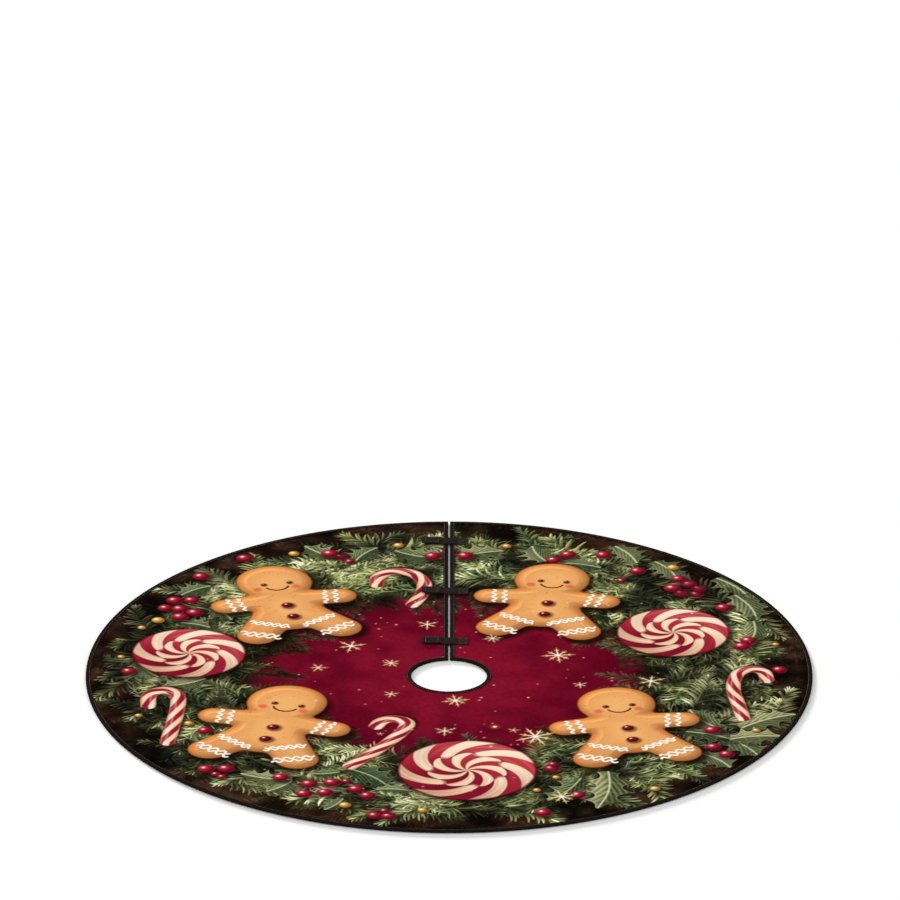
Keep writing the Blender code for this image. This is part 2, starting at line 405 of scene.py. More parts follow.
    def gingerbread(self, x, y, tilt, size):
        """A gingerbread man with crumbs, buttons, a smile and piped icing."""
        self.bread(x, y, tilt, size)

        def spot(across_body, up_body):
            return (x + size * (up_body * math.sin(tilt) + across_body * math.cos(tilt)),
                    y + size * (up_body * math.cos(tilt) - across_body * math.sin(tilt)))

        for _ in range(70):
            dot = spot(self.random.uniform(-0.12, 0.12), self.random.uniform(0.0, 0.4))
            self.dab(*dot, 0.0016 * size, BREAD_DARK, 0.55, 1.6, 0.4)
        for height in (0.146, 0.071):
            self.ball(*spot(0.005, height), 0.0165 * size, BERRY_DARK, tone(110, 20, 26), BERRY)
        for side in (-1, 1):
            self.dab(*spot(side * 0.056, 0.263), 0.0165 * size, CHEEK, 0.85, 1.1, 0.35)
            self.ball(*spot(side * 0.037 + 0.005, 0.292), 0.0078 * size, CHOCOLATE, CHOCOLATE,
                      BREAD_DARK, 0.8)
            self.bands(spot, side, size)
        smile = [spot(0.003 + 0.033 * math.cos(way), 0.279 + 0.031 * math.sin(way))
                 for way in np.linspace(math.radians(200), math.radians(340), 9)]
        self.rope(np.array(smile), 0.0032 * size, CHOCOLATE, 0.95)
        for side in (-1, 1):
            for drop in (0.0, 0.013):
                line = [spot(side * 0.118, 0.062 - drop), spot(side * 0.022, 0.014 - drop)]
                self.icing(line, 0.0034 * size, 4.5, 0.005 * size)

    def bands(self, spot, side, size):
        """Piped bands on one arm and one foot."""
        for reach in (0.118, 0.148):
            line = [spot(side * (reach + 0.008), 0.215), spot(side * (reach - 0.002), 0.138)]
            self.icing(line, 0.0036 * size, 3, 0.0055 * size)
        for drop in (0.0, 0.019):
            line = [spot(side * 0.158, 0.0 - drop), spot(side * 0.062, -0.046 - drop)]
            self.icing(line, 0.0036 * size, 4, 0.0055 * size)

    def dab(self, x, y, radius, colour, strength, outer, inner):
        """A soft dot that fades between two shares of its radius."""
        place, _, _, away = self.disc(x, y, radius, outer)
        self.lay(place, colour, strength * smooth(outer, inner, away))


def curve_through(points, steps):
    """A Catmull-Rom curve through points, as rows of x and y."""
    points = np.array(points, float)
    ends = np.vstack([2 * points[0] - points[1], points, 2 * points[-1] - points[-2]])
    shares = np.linspace(0, 1, steps, endpoint=False)[:, None]
    runs = []
    for a, b, c, d in zip(ends, ends[1:], ends[2:], ends[3:]):
        runs.append(b + 0.5 * shares * (c - a + shares * (
            2 * a - 5 * b + 4 * c - d + shares * (3 * b - 3 * c + d - a))))
    return np.vstack([*runs, points[-1:]])


def bread_outline(right, up):
    """Signed distance from a gingerbread man's outline, for a figure 0.41 tall from
    the fork of its legs to its crown; negative inside."""

    def limb(x0, y0, r0, x1, y1, r1):
        dx, dy = x1 - x0, y1 - y0
        share = clamp(((right - x0) * dx + (up - y0) * dy) / (dx * dx + dy * dy))
        return np.hypot(right - x0 - share * dx, up - y0 - share * dy) - mix(r0, r1, share)

    shape = limb(0, 0.298, 0.107, 0, 0.303, 0.107)
    parts = [(limb(0, 0.155, 0.096, 0, 0.085, 0.1), 0.03)]
    for side in (-1, 1):
        parts.append((limb(side * 0.05, 0.183, 0.05, side * 0.164, 0.174, 0.046), 0.022))
        parts.append((limb(side * 0.052, 0.068, 0.064, side * 0.121, -0.032, 0.058), 0.018))
    for other, blend in parts:
        share = clamp(0.5 + 0.5 * (other - shape) / blend)
        shape = mix(other, shape, share) - blend * share * (1 - share)
    return shape


# Motifs, in shares of the skirt's radius: x to the right, y to the back.
# x, y, radius and turn of the mints; x, y, tilt and size of the gingerbread men
MINTS = ((0.05, -0.608, 0.19, 0.25), (-0.717, 0.144, 0.156, 1.4), (0.618, 0.277, 0.155, 2.1))
BREAD_MEN = ((-0.528, -0.475, 0.27, 1.03), (0.51, -0.482, -0.17, 1.0),
             (-0.42, 0.315, -0.22, 0.98), (0.25, 0.33, 0.12, 0.97))
# route, half width and lean of the canes
CANES = (
    (((-0.826, -0.194), (-0.826, -0.142), (-0.814, -0.111), (-0.782, -0.095), (-0.754, -0.112),
      (-0.744, -0.15), (-0.747, -0.225), (-0.758, -0.322), (-0.772, -0.429)), 0.0215, 1),
    (((-0.199, -0.326), (-0.19, -0.302), (-0.168, -0.281), (-0.139, -0.281), (-0.116, -0.304),
      (-0.12, -0.338), (-0.143, -0.39), (-0.203, -0.488), (-0.27, -0.581)), 0.022, 1),
    (((0.807, -0.275), (0.795, -0.19), (0.782, -0.1), (0.785, -0.03), (0.8, 0.02),
      (0.835, 0.04), (0.865, 0.02), (0.875, -0.03)), 0.02, -1),
    (((-0.1, 0.46), (-0.075, 0.53), (-0.07, 0.6), (-0.1, 0.66), (-0.155, 0.675),
      (-0.195, 0.64), (-0.2, 0.59)), 0.021, 1),
)
BERRIES = (
    (-0.566, 0.761), (-0.686, 0.641), (-0.758, 0.485), (-0.712, 0.487), (-0.783, 0.435),
    (-0.743, 0.43), (-0.702, 0.405), (-0.742, 0.378), (-0.881, 0.027), (-0.669, -0.353),
    (-0.665, -0.6), (-0.61, -0.598), (-0.461, -0.654), (-0.383, -0.695), (-0.32, -0.687),
    (-0.396, -0.758), (-0.339, -0.75), (-0.255, -0.728), (-0.223, -0.77), (-0.203, -0.896),
    (-0.165, -0.9), (0.281, -0.596), (0.258, -0.878), (0.722, -0.35), (0.725, -0.459),
    (0.761, -0.506), (0.909, 0.035), (0.825, 0.225), (0.807, 0.188), (0.758, 0.438),
    (0.683, 0.525), (0.69, 0.562), (0.663, 0.592), (0.642, 0.532), (0.618, 0.565),
    (0.635, 0.626), (0.522, 0.678), (0.428, 0.783), (0.353, -0.765), (0.0, 0.8),
    (-0.045, 0.775), (0.045, 0.777), (-0.3, 0.77), (0.29, 0.75), (-0.33, 0.79), (0.33, 0.785),
)
SMALL_BERRIES = ((-0.638, -0.633), (-0.621, -0.65), (-0.281, -0.678), (-0.176, -0.867),
                 (0.285, -0.57), (0.477, 0.615), (0.0, 0.745), (-0.275, 0.74))
BEADS = (
    (-0.284, -0.83), (-0.072, -0.863), (0.24, -0.735), (0.293, -0.653), (0.563, -0.726),
    (0.843, -0.353), (-0.903, 0.12), (-0.848, 0.308), (-0.803, 0.356), (-0.852, -0.258),
    (-0.714, -0.308), (-0.14, 0.845), (0.16, 0.84), (0.9, 0.2), (0.62, 0.7), (-0.43, 0.79),
)
# stalk x and y, tip x and y, width and lightness of the holly leaves
HOLLY = (
    (-0.27, -0.6, -0.165, -0.712, 0.085, 0.25), (-0.43, -0.675, -0.5, -0.745, 0.06, 0.7),
    (-0.43, -0.67, -0.57, -0.63, 0.062, 0.9), (-0.2, -0.73, -0.1, -0.74, 0.045, 0.6),
    (-0.29, -0.79, -0.34, -0.86, 0.05, 0.3), (-0.3, -0.62, -0.38, -0.63, 0.05, 0.35),
    (0.435, -0.615, 0.405, -0.85, 0.085, 0.95), (0.36, -0.66, 0.27, -0.8, 0.07, 0.35),
    (0.735, -0.38, 0.85, -0.52, 0.085, 0.75), (0.65, -0.36, 0.8, -0.43, 0.075, 0.45),
    (0.8, -0.34, 0.95, -0.25, 0.085, 1.0), (0.74, -0.34, 0.66, -0.22, 0.08, 0.9),
    (0.77, -0.41, 0.91, -0.39, 0.075, 1.0), (0.69, -0.5, 0.77, -0.59, 0.07, 0.8),
    (0.57, 0.74, 0.63, 0.63, 0.07, 0.8), (0.46, 0.84, 0.52, 0.73, 0.07, 0.95),
    (0.74, 0.63, 0.83, 0.5, 0.075, 0.85), (0.79, 0.52, 0.85, 0.36, 0.08, 0.8),
    (0.84, 0.35, 0.83, 0.22, 0.07, 0.7), (-0.8, -0.01, -0.86, 0.1, 0.065, 0.6),
    (-0.67, -0.02, -0.79, -0.07, 0.06, 0.75), (-0.74, 0.52, -0.66, 0.58, 0.06, 0.4),
    (-0.66, 0.44, -0.6, 0.36, 0.06, 0.3), (-0.74, 0.34, -0.66, 0.31, 0.06, 0.4),
    (-0.02, 0.76, -0.15, 0.81, 0.08, 0.55), (0.02, 0.76, 0.15, 0.81, 0.08, 0.75),
    (-0.3, 0.76, -0.4, 0.84, 0.07, 0.8), (-0.26, 0.74, -0.2, 0.83, 0.065, 0.4),
    (0.27, 0.74, 0.23, 0.84, 0.07, 0.85), (0.3, 0.73, 0.42, 0.7, 0.07, 0.4),
)
# stalk x and y, tip x and y of the large pale sprays
FRONDS = (
    (0.03, -0.8, 0.3, -0.86), (-0.02, -0.82, -0.2, -0.9), (0.3, -0.72, 0.2, -0.84),
    (-0.13, -0.52, -0.3, -0.43), (-0.36, -0.6, -0.22, -0.52), (0.6, -0.6, 0.72, -0.66),
    (0.66, -0.22, 0.76, -0.03), (0.7, -0.4, 0.78, -0.18), (0.9, -0.3, 0.89, -0.1),
    (0.82, 0.1, 0.89, 0.3), (0.83, 0.3, 0.8, 0.55), (0.78, 0.42, 0.68, 0.68),
    (0.86, 0.4, 0.88, 0.24),
    (-0.6, 0.5, -0.78, 0.6), (-0.58, 0.58, -0.72, 0.68), (-0.55, 0.48, -0.62, 0.7),
    (-0.83, 0.15, -0.9, -0.04), (-0.86, 0.02, -0.93, -0.16), (-0.72, -0.08, -0.9, -0.22),
    (-0.6, -0.1, -0.7, 0.0), (-0.7, -0.47, -0.82, -0.4), (-0.62, -0.66, -0.48, -0.78),
    (-0.5, -0.6, -0.6, -0.72), (-0.82, 0.28, -0.9, 0.42), (-0.2, 0.78, 0.02, 0.86),
    (0.2, 0.8, 0.4, 0.72),
    (0.5, -0.62, 0.62, -0.78), (0.56, -0.12, 0.68, 0.06), (-0.08, -0.8, 0.1, -0.92),
)
# x, y, radius, number of arms and turn of the snow stars
FLAKES = (
    (0.237, -0.393, 0.062, 8, 0.45), (0.177, -0.352, 0.02, 5, 0.1), (-0.012, -0.357, 0.034, 6, 0.5),
    (0.018, -0.162, 0.042, 8, 0.2), (0.555, -0.037, 0.046, 6, 0.4), (0.308, -0.777, 0.047, 8, 0.3),
    (-0.189, -0.375, 0.013, 5, 0.2), (0.3, 0.13, 0.05, 8, 0.1), (-0.27, 0.19, 0.045, 6, 0.3),
    (-0.36, 0.05, 0.03, 6, 0.0), (-0.06, 0.33, 0.035, 6, 0.5), (0.12, 0.24, 0.03, 8, 0.2),
    (-0.16, 0.08, 0.03, 8, 0.6), (-0.16, -0.12, 0.026, 6, 0.3), (0.36, -0.06, 0.025, 6, 0.6),
)


def paint_ground(art):
    """Wine red in the middle, a dark wreath bed round it and dark earth to the rim."""
    east, north = art.axis[None, :], art.axis[:, None]
    away = np.hypot(east, north)
    broad, fine, speck = art.cloud(7), art.cloud(34), art.cloud(260)
    wine = tint(WINE_LIT, WINE, smooth(0.0, 0.25, away + 0.2 * broad))
    wine = tint(wine, WINE_DEEP, smooth(0.15, 0.62, away + 0.3 * fine - 0.1))
    wine = wine * (0.93 + 0.14 * speck[..., None])
    bed = tint(PINE_BLACK, PINE_DARK, 0.25 + 0.75 * fine)
    earth = tint(EARTH_DARK, EARTH, clamp(0.1 + 0.9 * fine + 0.3 * (speck - 0.5)))
    colour = tint(wine, bed, smooth(0.47, 0.58, away + 0.08 * (fine - 0.5)))
    art.ink[:] = tint(colour, earth, smooth(0.8, 0.92, away + 0.1 * (broad - 0.5)))


def paint_rim(art):
    """Faint sprays and strokes in the dark earth, near the rim."""
    for _ in range(120):
        way = art.random.uniform(0, math.tau)
        far = art.random.uniform(0.84, 0.97)
        lean = way + art.random.choice((-1, 1)) * art.random.uniform(0.2, 1.2)
        tones = (EARTH_DARK, EARTH, mix(EARTH, EARTH_LIT, art.random.uniform(0.1, 0.7)))
        art.sprig(*polar(far, way), lean,
                  art.random.uniform(0.08, 0.15), tones, 10, 0.42)
    for _ in range(900):
        way = art.random.uniform(0, math.tau)
        far = art.random.uniform(0.88, 0.99)
        tip = mix(EARTH, EARTH_LIT, art.random.uniform(0, 0.55))
        art.needle(*polar(far, way), way + art.random.normal(0, 0.9),
                   art.random.uniform(0.02, 0.05), 0.003, EARTH_DARK, tip)


def ring_of_sprigs(art, count, nearest, farthest, lean, size, tones):
    """Sprays set round a ring; lean turns them from straight out (0) to along it."""
    for number in range(count):
        way = math.tau * (number + art.random.uniform(-0.4, 0.4)) / count
        far = art.random.uniform(nearest, farthest)
        side = art.random.choice((-1, 1))
        heading = way + side * lean + art.random.normal(0, 0.22)
        palette = tones[art.random.integers(len(tones))]
        art.sprig(*polar(far, way), heading,
                  size * art.random.uniform(0.8, 1.25), palette, art.random.integers(8, 15),
                  art.random.uniform(0.34, 0.5), side * 0.6 * art.random.uniform(0.3, 1.3))


def paint_sprays(art):
    shade = (PINE_BLACK, PINE_DARK, PINE)
    body = (PINE_BLACK, PINE, PINE_LIT)
    lit = (PINE_BLACK, mix(PINE, PINE_LIT, 0.4), PINE_PALE)
    cool = (PINE_BLACK, mix(HOLLY_TEAL, PINE, 0.4), mix(HOLLY_TEAL, PINE_LIT, 0.6))
    ring_of_sprigs(art, 100, 0.75, 0.84, 0.6, 0.14, (shade, shade, cool))
    ring_of_sprigs(art, 80, 0.52, 0.64, 2.6, 0.12, (shade, shade, cool))
    ring_of_sprigs(art, 90, 0.58, 0.8, 1.5, 0.16, (shade, body, cool))
    ring_of_sprigs(art, 70, 0.72, 0.8, 0.7, 0.17, (shade, body, body))
    ring_of_sprigs(art, 60, 0.56, 0.66, 2.4, 0.12, (shade, body))
    ring_of_sprigs(art, 90, 0.58, 0.82, 1.35, 0.17, (shade, body, lit, cool))
    ring_of_sprigs(art, 56, 0.67, 0.77, 0.8, 0.18, (body, lit, lit))
    ring_of_sprigs(art, 44, 0.6, 0.8, 1.6, 0.18, (body, lit))


def paint_fronds(art):
    for x, y, tip_x, tip_y in FRONDS:
        tones = (PINE_BLACK, mix(PINE, PINE_LIT, art.random.uniform(0.2, 0.8)), PINE_PALE)
        art.sprig(x, y, *heading_to(x, y, tip_x, tip_y), tones, 13, 0.4,
                  art.random.choice((-0.5, 0.5)))


def paint_strokes(art):
    """Fine pale needles over the sprays, along the wreath and out of it."""
    for _ in range(1700):
        way = art.random.uniform(0, math.tau)
        far = art.random.uniform(0.57, 0.86)
        heading = way + art.random.choice((-1, 1)) * art.random.uniform(0.5, 2.2)
        glint = art.random.uniform(0.2, 1.0) ** 1.3
        art.needle(*polar(far, way), heading,
                   art.random.uniform(0.03, 0.085), art.random.uniform(0.0016, 0.003),
                   mix(PINE_BLACK, PINE, glint), mix(PINE_LIT, PINE_PALE, glint),
                   art.random.uniform(-0.14, 0.14))


def shade_wreath(art):
    """Dark hollows and brighter tufts over the wreath's greens."""
    depth = 0.6 * art.cloud(22) + 0.4 * art.cloud(48)
    light = mix(0.45, 1.85, smooth(0.22, 0.78, depth))
    east, north = art.axis[None, :], art.axis[:, None]
    inside = smooth(0.46, 0.58, np.hypot(east, north))
    art.ink *= mix(1.0, light, inside)[..., None]


def paint_holly(art):
    for x, y, tip_x, tip_y, width, light in HOLLY:
        deep = mix(HOLLY_DEEP, PINE, light * 0.7)
        bright = mix(HOLLY_TEAL, mix(PINE_LIT, PINE_PALE, 0.35), light)
        rim = mix(HOLLY_PALE, PINE_PALE, light)
        art.holly(x, y, *heading_to(x, y, tip_x, tip_y), width, deep, bright, rim)


def paint_fruit(art):
    for x, y in BERRIES:
        art.ball(x, y, 0.0225 * art.random.uniform(0.92, 1.1), BERRY_DARK, BERRY, BERRY_LIT)
    for x, y in SMALL_BERRIES:
        art.ball(x, y, 0.014, BERRY_DARK, BERRY, BERRY_LIT)
    for x, y in BEADS:
        size = 0.016 * art.random.uniform(0.6, 1.15)
        art.glow(x, y, size * 2.6, GOLD, 0.35)
        art.ball(x, y, size, GOLD_DARK, GOLD, GOLD_LIT)


def paint_sparkle(art):
    for x, y, size, arms, turn in FLAKES:
        art.flake(x, y, size, arms, GOLD_LIT, turn)
    for _ in range(90):
        way, far = art.random.uniform(0, math.tau), 0.5 * math.sqrt(art.random.uniform(0.03, 1))
        art.glow(*polar(far, way),
                 art.random.uniform(0.004, 0.011), GOLD_LIT, art.random.uniform(0.3, 0.9))
    for _ in range(70):
        way, far = art.random.uniform(0, math.tau), art.random.uniform(0.56, 0.9)
        art.glow(*polar(far, way),
                 art.random.uniform(0.005, 0.012), GOLD, art.random.uniform(0.3, 0.8))
    art.glow(0.125, -0.33, 0.026, GOLD, 0.95)


def paint_print():
    """The whole print: a wreath of fir, holly and sweets round a wine red middle."""
    art = Print(RASTER, PRINT_SEED)
    paint_ground(art)
    paint_rim(art)
    paint_sprays(art)
    paint_fronds(art)
    paint_strokes(art)
    shade_wreath(art)
    paint_holly(art)
    paint_fruit(art)
    for route, half, lean in CANES:
        art.cane(route, half, lean)
    for mint in MINTS:
        art.mint(*mint)
    for man in BREAD_MEN:
        art.gingerbread(*man)
    paint_sparkle(art)
    return art


# ---------------------------------------------------------------- shapes


def lie(x, y):
    """How far the cloths stand off the floor: slight waves that grow to the rim."""
    away = np.hypot(x, y) / RADIUS
    around = np.arctan2(y, x)
    wave = (np.sin(3 * around + 0.7) + 0.8 * np.sin(5 * around - 1.9 + 2 * away)
            + 0.6 * np.sin(9 * around + 2.5 * away))
    return WAVE * (1 + wave / 2.4) * away**2


def pucker(x, y):
    """The fine gathers that a stitched tape draws into the cloth beside it."""
    away = np.hypot(x, y)
    around = np.arctan2(y, x)
    near = smooth(0.035, 0.008, RADIUS - away)
    return PUCKER * near * (np.sin(430 * around) + np.sin(263 * around + 1.0))


def new_object(name, points, faces, material):
    """A smooth mesh piece; faces is a list, or one array of quads."""
    mesh = bpy.data.meshes.new(name)
    if isinstance(faces, np.ndarray):
        mesh.vertices.add(len(points))
        mesh.vertices.foreach_set("co", np.asarray(points, np.float32).ravel())
        mesh.loops.add(faces.size)
        mesh.loops.foreach_set("vertex_index", faces.astype(np.int32).ravel())
        mesh.polygons.add(len(faces))
        starts = np.arange(0, faces.size, faces.shape[1], dtype=np.int32)
        mesh.polygons.foreach_set("loop_start", starts)
        mesh.update(calc_edges=True)
    else:
        mesh.from_pydata([tuple(map(float, point)) for point in points], [], faces)
        mesh.update()
    mesh.shade_smooth()
    mesh.materials.append(material)
    piece = bpy.data.objects.new(name, mesh)
    bpy.context.scene.collection.objects.link(piece)
    return piece


def cloth(name, leaf, step, height, edge, material, sag=0.0):
    """One layer of cloth as a grid, cut to the ring, to the slit and to its part."""
    outer, inner = RADIUS - 2 * TAPE, HOLE_RADIUS + 2 * TAPE
    count = math.ceil(outer / step)
    line = np.arange(-count, count + 1) * step
    middle = (line[1:] + line[:-1]) / 2
    cell_x, cell_y = np.meshgrid(middle, middle)
    away = np.hypot(cell_x, cell_y)
    keep = (away < outer) & (away > inner)
    keep &= ~((cell_y > 0) & (np.abs(cell_x) < edge))
    quarter = (cell_x > 0) & (cell_y > 0)
    keep &= quarter if leaf else ~quarter
    row, column = np.nonzero(keep)
    side = len(line)
    corner = row * side + column
    quads = np.stack([corner, corner + 1, corner + side + 1, corner + side], 1)
    used, quads = np.unique(quads, return_inverse=True)
    quads = quads.reshape(-1, 4)
    x, y = line[used % side], line[used // side]
    away = np.hypot(x, y)
    pull = np.clip(away, inner, outer) / away
    x, y = x * pull, y * pull
    z = height + lie(x, y) - sag + (pucker(x, y) if sag == 0 else 0)
    piece = new_object(name, np.stack([x, y, z], 1), quads, material)
    layer = piece.data.uv_layers.new(name="OFBake")
    low = 0.0 if leaf else -RADIUS
    spread = RADIUS if leaf else 2 * RADIUS
    map_x, map_y = (x - low) / spread, (y - low) / spread
    margin = 0.001
    places = np.clip(np.stack([map_x, map_y], 1), margin, 1 - margin)
    layer.data.foreach_set("uv", places[quads.ravel()].astype(np.float32).ravel())
    return piece, used, side, count


def linear(display):
    """Display values to light values."""
    return np.where(display <= 0.04045, display / 12.92, ((display + 0.055) / 1.055) ** 2.4)


def printed_cloth(name, leaf, height, art, material):
    """The face cloth, with the print's colour on each of its points."""
    piece, used, side, count = cloth(name, leaf, FACE_STEP, height, 2 * FACE_STEP,
                                     material)
    ink = linear(clamp(art.ink))
    for axis in (0, 1):
        ink = (np.roll(ink, 1, axis) + 2 * ink + np.roll(ink, -1, axis)) / 4
    size = len(art.axis)
    row = np.clip((used // side - count) * FACE_SKIP + size // 2, 0, size - 1)
    column = np.clip((used % side - count) * FACE_SKIP + size // 2, 0, size - 1)
    colours = np.ones((len(used), 4), np.float32)
    colours[:, :3] = ink[row, column]
    layer = piece.data.color_attributes.new("print", "FLOAT_COLOR", "POINT")
    layer.data.foreach_set("color", colours.ravel())
    return piece


def arc(radius, start, end, step):
    """Points along an arc about the middle of the hole, both ends included."""
    count = max(2, math.ceil(abs(end - start) * radius / step))
    ways = np.linspace(start, end, count + 1)
    return np.stack([radius * np.cos(ways), radius * np.sin(ways)], 1)


def edge_route(leaf):
    """The bound edge of one part, with the cloth always on its right."""
    side = 1 if leaf else -1
    slit_x = side * SLIT_WIDTH / 2
    rim_corner = (slit_x, math.sqrt(RADIUS**2 - slit_x**2))
    hole_corner = (slit_x, math.sqrt(HOLE_RADIUS**2 - slit_x**2))
    clear = 1.3 * BINDING_WIDTH
    slit = math.pi / 2
    if leaf:
        hole = arc(HOLE_RADIUS, 0, slit - clear / HOLE_RADIUS, LEAF_HOLE_STEP)
        rim = arc(RADIUS, slit - clear / RADIUS, 0, LEAF_RIM_STEP)
        return [hole, [hole_corner], straight(hole_corner, rim_corner, clear), [rim_corner], rim]
    rim = arc(RADIUS, 0, slit + clear / RADIUS - math.tau, RIM_STEP)
    hole = arc(HOLE_RADIUS, slit + clear / HOLE_RADIUS, math.tau, HOLE_STEP)
    return [rim, [rim_corner], straight(rim_corner, hole_corner, clear), [hole_corner], hole]


def straight(start, end, clear):
    """Points from start to end, both of them left out by clear."""
    start, end = np.array(start), np.array(end)
    long = np.hypot(*(end - start))
    count = math.ceil((long - 2 * clear) / SLIT_STEP)
    shares = np.linspace(clear, long - clear, count + 1) / long
    return start + (end - start) * shares[:, None]


def rails(route):
    """Unit vectors to the right of a route, lengthened at its corners to a mitre."""
    steps = np.diff(route, axis=0)
    steps /= np.hypot(steps[:, 0], steps[:, 1])[:, None]
    right = np.stack([steps[:, 1], -steps[:, 0]], 1)
    before, after = np.vstack([right[:1], right]), np.vstack([right, right[-1:]])
    total = before + after
    return 2 * total / (total**2).sum(1)[:, None]


def wall(count, size):
    """The faces between rings of points, as many points in each."""
    faces = []
    for ring in range(count - 1):
        for spot in range(size):
            a, b = ring * size + spot, ring * size + (spot + 1) % size
            faces.append((a, b, b + size, a + size))
    return faces


def loft(name, rings, material):
    """A surface through rings of points, capped at both ends."""
    count, size = rings.shape[:2]
    ends = [tuple(range(size))[::-1], tuple(range((count - 1) * size, count * size))]
    return new_object(name, rings.reshape(-1, 3), wall(count, size) + ends, material)


def threads(name, middles, side, up, radii, rounds, material):
    """Many like threads, open at their ends, round rows of middles."""
    ways = (np.arange(rounds) * math.tau / rounds)[:, None]
    ring = side[..., None, :] * np.cos(ways) + up[..., None, :] * np.sin(ways)
    points = middles[..., None, :] + ring * np.reshape(radii, (-1, 1, 1))
    number, count = middles.shape[:2]
    starts = count * rounds * np.arange(number)[:, None, None]
    quads = (np.array(wall(count, rounds))[None] + starts).reshape(-1, 4)
    return new_object(name, points.reshape(-1, 3), quads, material)


def tape_profile(cad_top):
    """The folded tape, as depth in from its edge and height: round at its back."""
    lip, back = BINDING_WIDTH, 0.0009
    crown = [(lip, cad_top - 0.00065), (lip, cad_top - 0.00025), (lip - 0.0004, cad_top - 0.00008),
             (lip * 0.72, cad_top), (lip * 0.3, cad_top - 0.00003)]
    turn = [(back * (1 - math.sin(a)), cad_top / 2 + (cad_top / 2 - 0.00015) * math.cos(a))
            for a in np.linspace(math.radians(25), math.radians(155), 7)]
    under = [(lip * 0.3, 0.00003), (lip - 0.0004, 0.00008), (lip, 0.00025), (lip, 0.00065)]
    inside = [(back + 0.0006, 0.0008), (back + 0.0006, cad_top - 0.0008)]
    return crown + turn + under + inside


def edge_tape(name, leaf, cad_top, material):
    """The binding round the whole edge of one part: rim, slit and hole."""
    route = np.vstack(edge_route(leaf))
    inward = rails(route)
    profile = np.array(tape_profile(cad_top))
    places = route[:, None, :] + inward[:, None, :] * profile[None, :, :1]
    heights = profile[None, :, 1] + lie(places[..., 0], places[..., 1])
    rings = np.concatenate([places, heights[..., None]], 2)
    piece = loft(name, rings, material)
    along = piece.data.attributes.new("along", "FLOAT", "POINT")
    values = np.repeat(travelled(route), len(profile)).astype(np.float32)
    along.data.foreach_set("value", values)
    return piece


def stitches(name, runs, material):
    """Threads that dip into the cloth at both ends; runs are pairs of end points."""
    start = np.array([run[0] for run in runs])
    end = np.array([run[1] for run in runs])
    way = end - start
    way /= np.linalg.norm(way, axis=1)[:, None]
    side = np.cross(way, (0, 0, 1.0))
    side /= np.linalg.norm(side, axis=1)[:, None]
    up = np.cross(side, way)[:, None]
    share = np.array([0, 0.16, 0.5, 0.84, 1])[:, None]
    sink = np.array([1.3, 0.25, 0, 0.25, 1.3])[:, None] * THREAD
    radii = np.array([0.45, 0.9, 1.0, 0.9, 0.45]) * THREAD
    middles = mix(start[:, None], end[:, None], share) - up * sink
    return threads(name, middles, side[:, None], up, radii, 6, material)


def stitch_line(corners, height, stitch=STITCH):
    """Stitches along a route of x and y, at a height over the lie of the cloths."""
    corners = np.array(corners, float)
    marks = travelled(corners)
    count = max(1, round(marks[-1] / (stitch + STITCH_GAP)))
    starts = (np.arange(count) + 0.12) * marks[-1] / count
    ends = starts + marks[-1] / count * stitch / (stitch + STITCH_GAP)
    runs = []
    for low, high in zip(starts, ends):
        pair = []
        for mark in (low, high):
            x, y = np.interp(mark, marks, corners[:, 0]), np.interp(mark, marks, corners[:, 1])
            pair.append((x, y, height(x) + lie(x, y)))
        runs.append(pair)
    return runs


def edge_seam(leaf, cad_top):
    """The seam through the tape's lips, seen from above and from below."""
    route = np.vstack(edge_route(leaf))
    seam = route + rails(route) * SEAM_IN
    above = stitch_line(seam, lambda x: cad_top + 0.4 * THREAD)
    below = stitch_line(seam, lambda x: -0.1 * THREAD)
    return above + below


# ---------------------------------------------------------------- straps


class Strap:
    """Places of one closing strap, read from the CAD part's own boxes."""

    def __init__(self, number):
        self.number = number
        low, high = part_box(f"strap_{number}")
        sewn_low, sewn_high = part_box(f"strap_{number}_sewn_end")
        self.middle = (low.y + high.y) / 2
        self.tip, self.line, self.root = low.x, sewn_low.x, sewn_high.x
        self.low, self.top = sewn_low.z, sewn_high.z
        self.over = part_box("slit_binding_main")[1].z + STRAP_GAP
        self.hook_low, self.hook_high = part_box(f"hook_patch_{number}")
        self.loop_low, self.loop_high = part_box(f"loop_patch_{number}")
        self.high = high.z - (sewn_high.z - sewn_low.z)

    def underside(self, x):
        """Height of the strap's underside: up over the bindings, then onto the hooks."""
        reach = SLIT_WIDTH / 2 + BINDING_WIDTH
        up = self.low + (self.over - self.low) * smooth(self.line, reach, x)
        return up + (self.high - self.over) * smooth(-reach, self.hook_high.x, x)


def webbing(strap, material):
    """The strap, from its sewn root to its round-cornered tip."""
    thick = strap.top - strap.low
    half, round_off = STRAP_WIDTH / 2, 0.0035
    stations = np.linspace(strap.root, strap.tip, 121)
    across = np.array([-1, -0.985, -0.94, -0.5, 0, 0.5, 0.94, 0.985, 1])
    rings = []
    for x in stations:
        inset = max(0.0, round_off - (x - strap.tip))
        wide = half - (round_off - math.sqrt(max(round_off**2 - inset**2, 0.0)))
        y = strap.middle + wide * across
        rim = np.array([0.5, 0.8, 0.98, 1, 1, 1, 0.98, 0.8, 0.5])
        bed = strap.underside(x) + lie(x, y)
        top = np.stack([np.full_like(y, x), y, bed + thick * rim], 1)
        low = np.stack([np.full_like(y, x), y, bed + thick * (1 - rim)], 1)
        rings.append(np.vstack([top, low[::-1][1:-1]]))
    piece = loft(f"webbing_{strap.number}", np.array(rings), material)
    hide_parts(f"strap_{strap.number}", f"strap_{strap.number}_sewn_end")
    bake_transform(piece)
    return piece


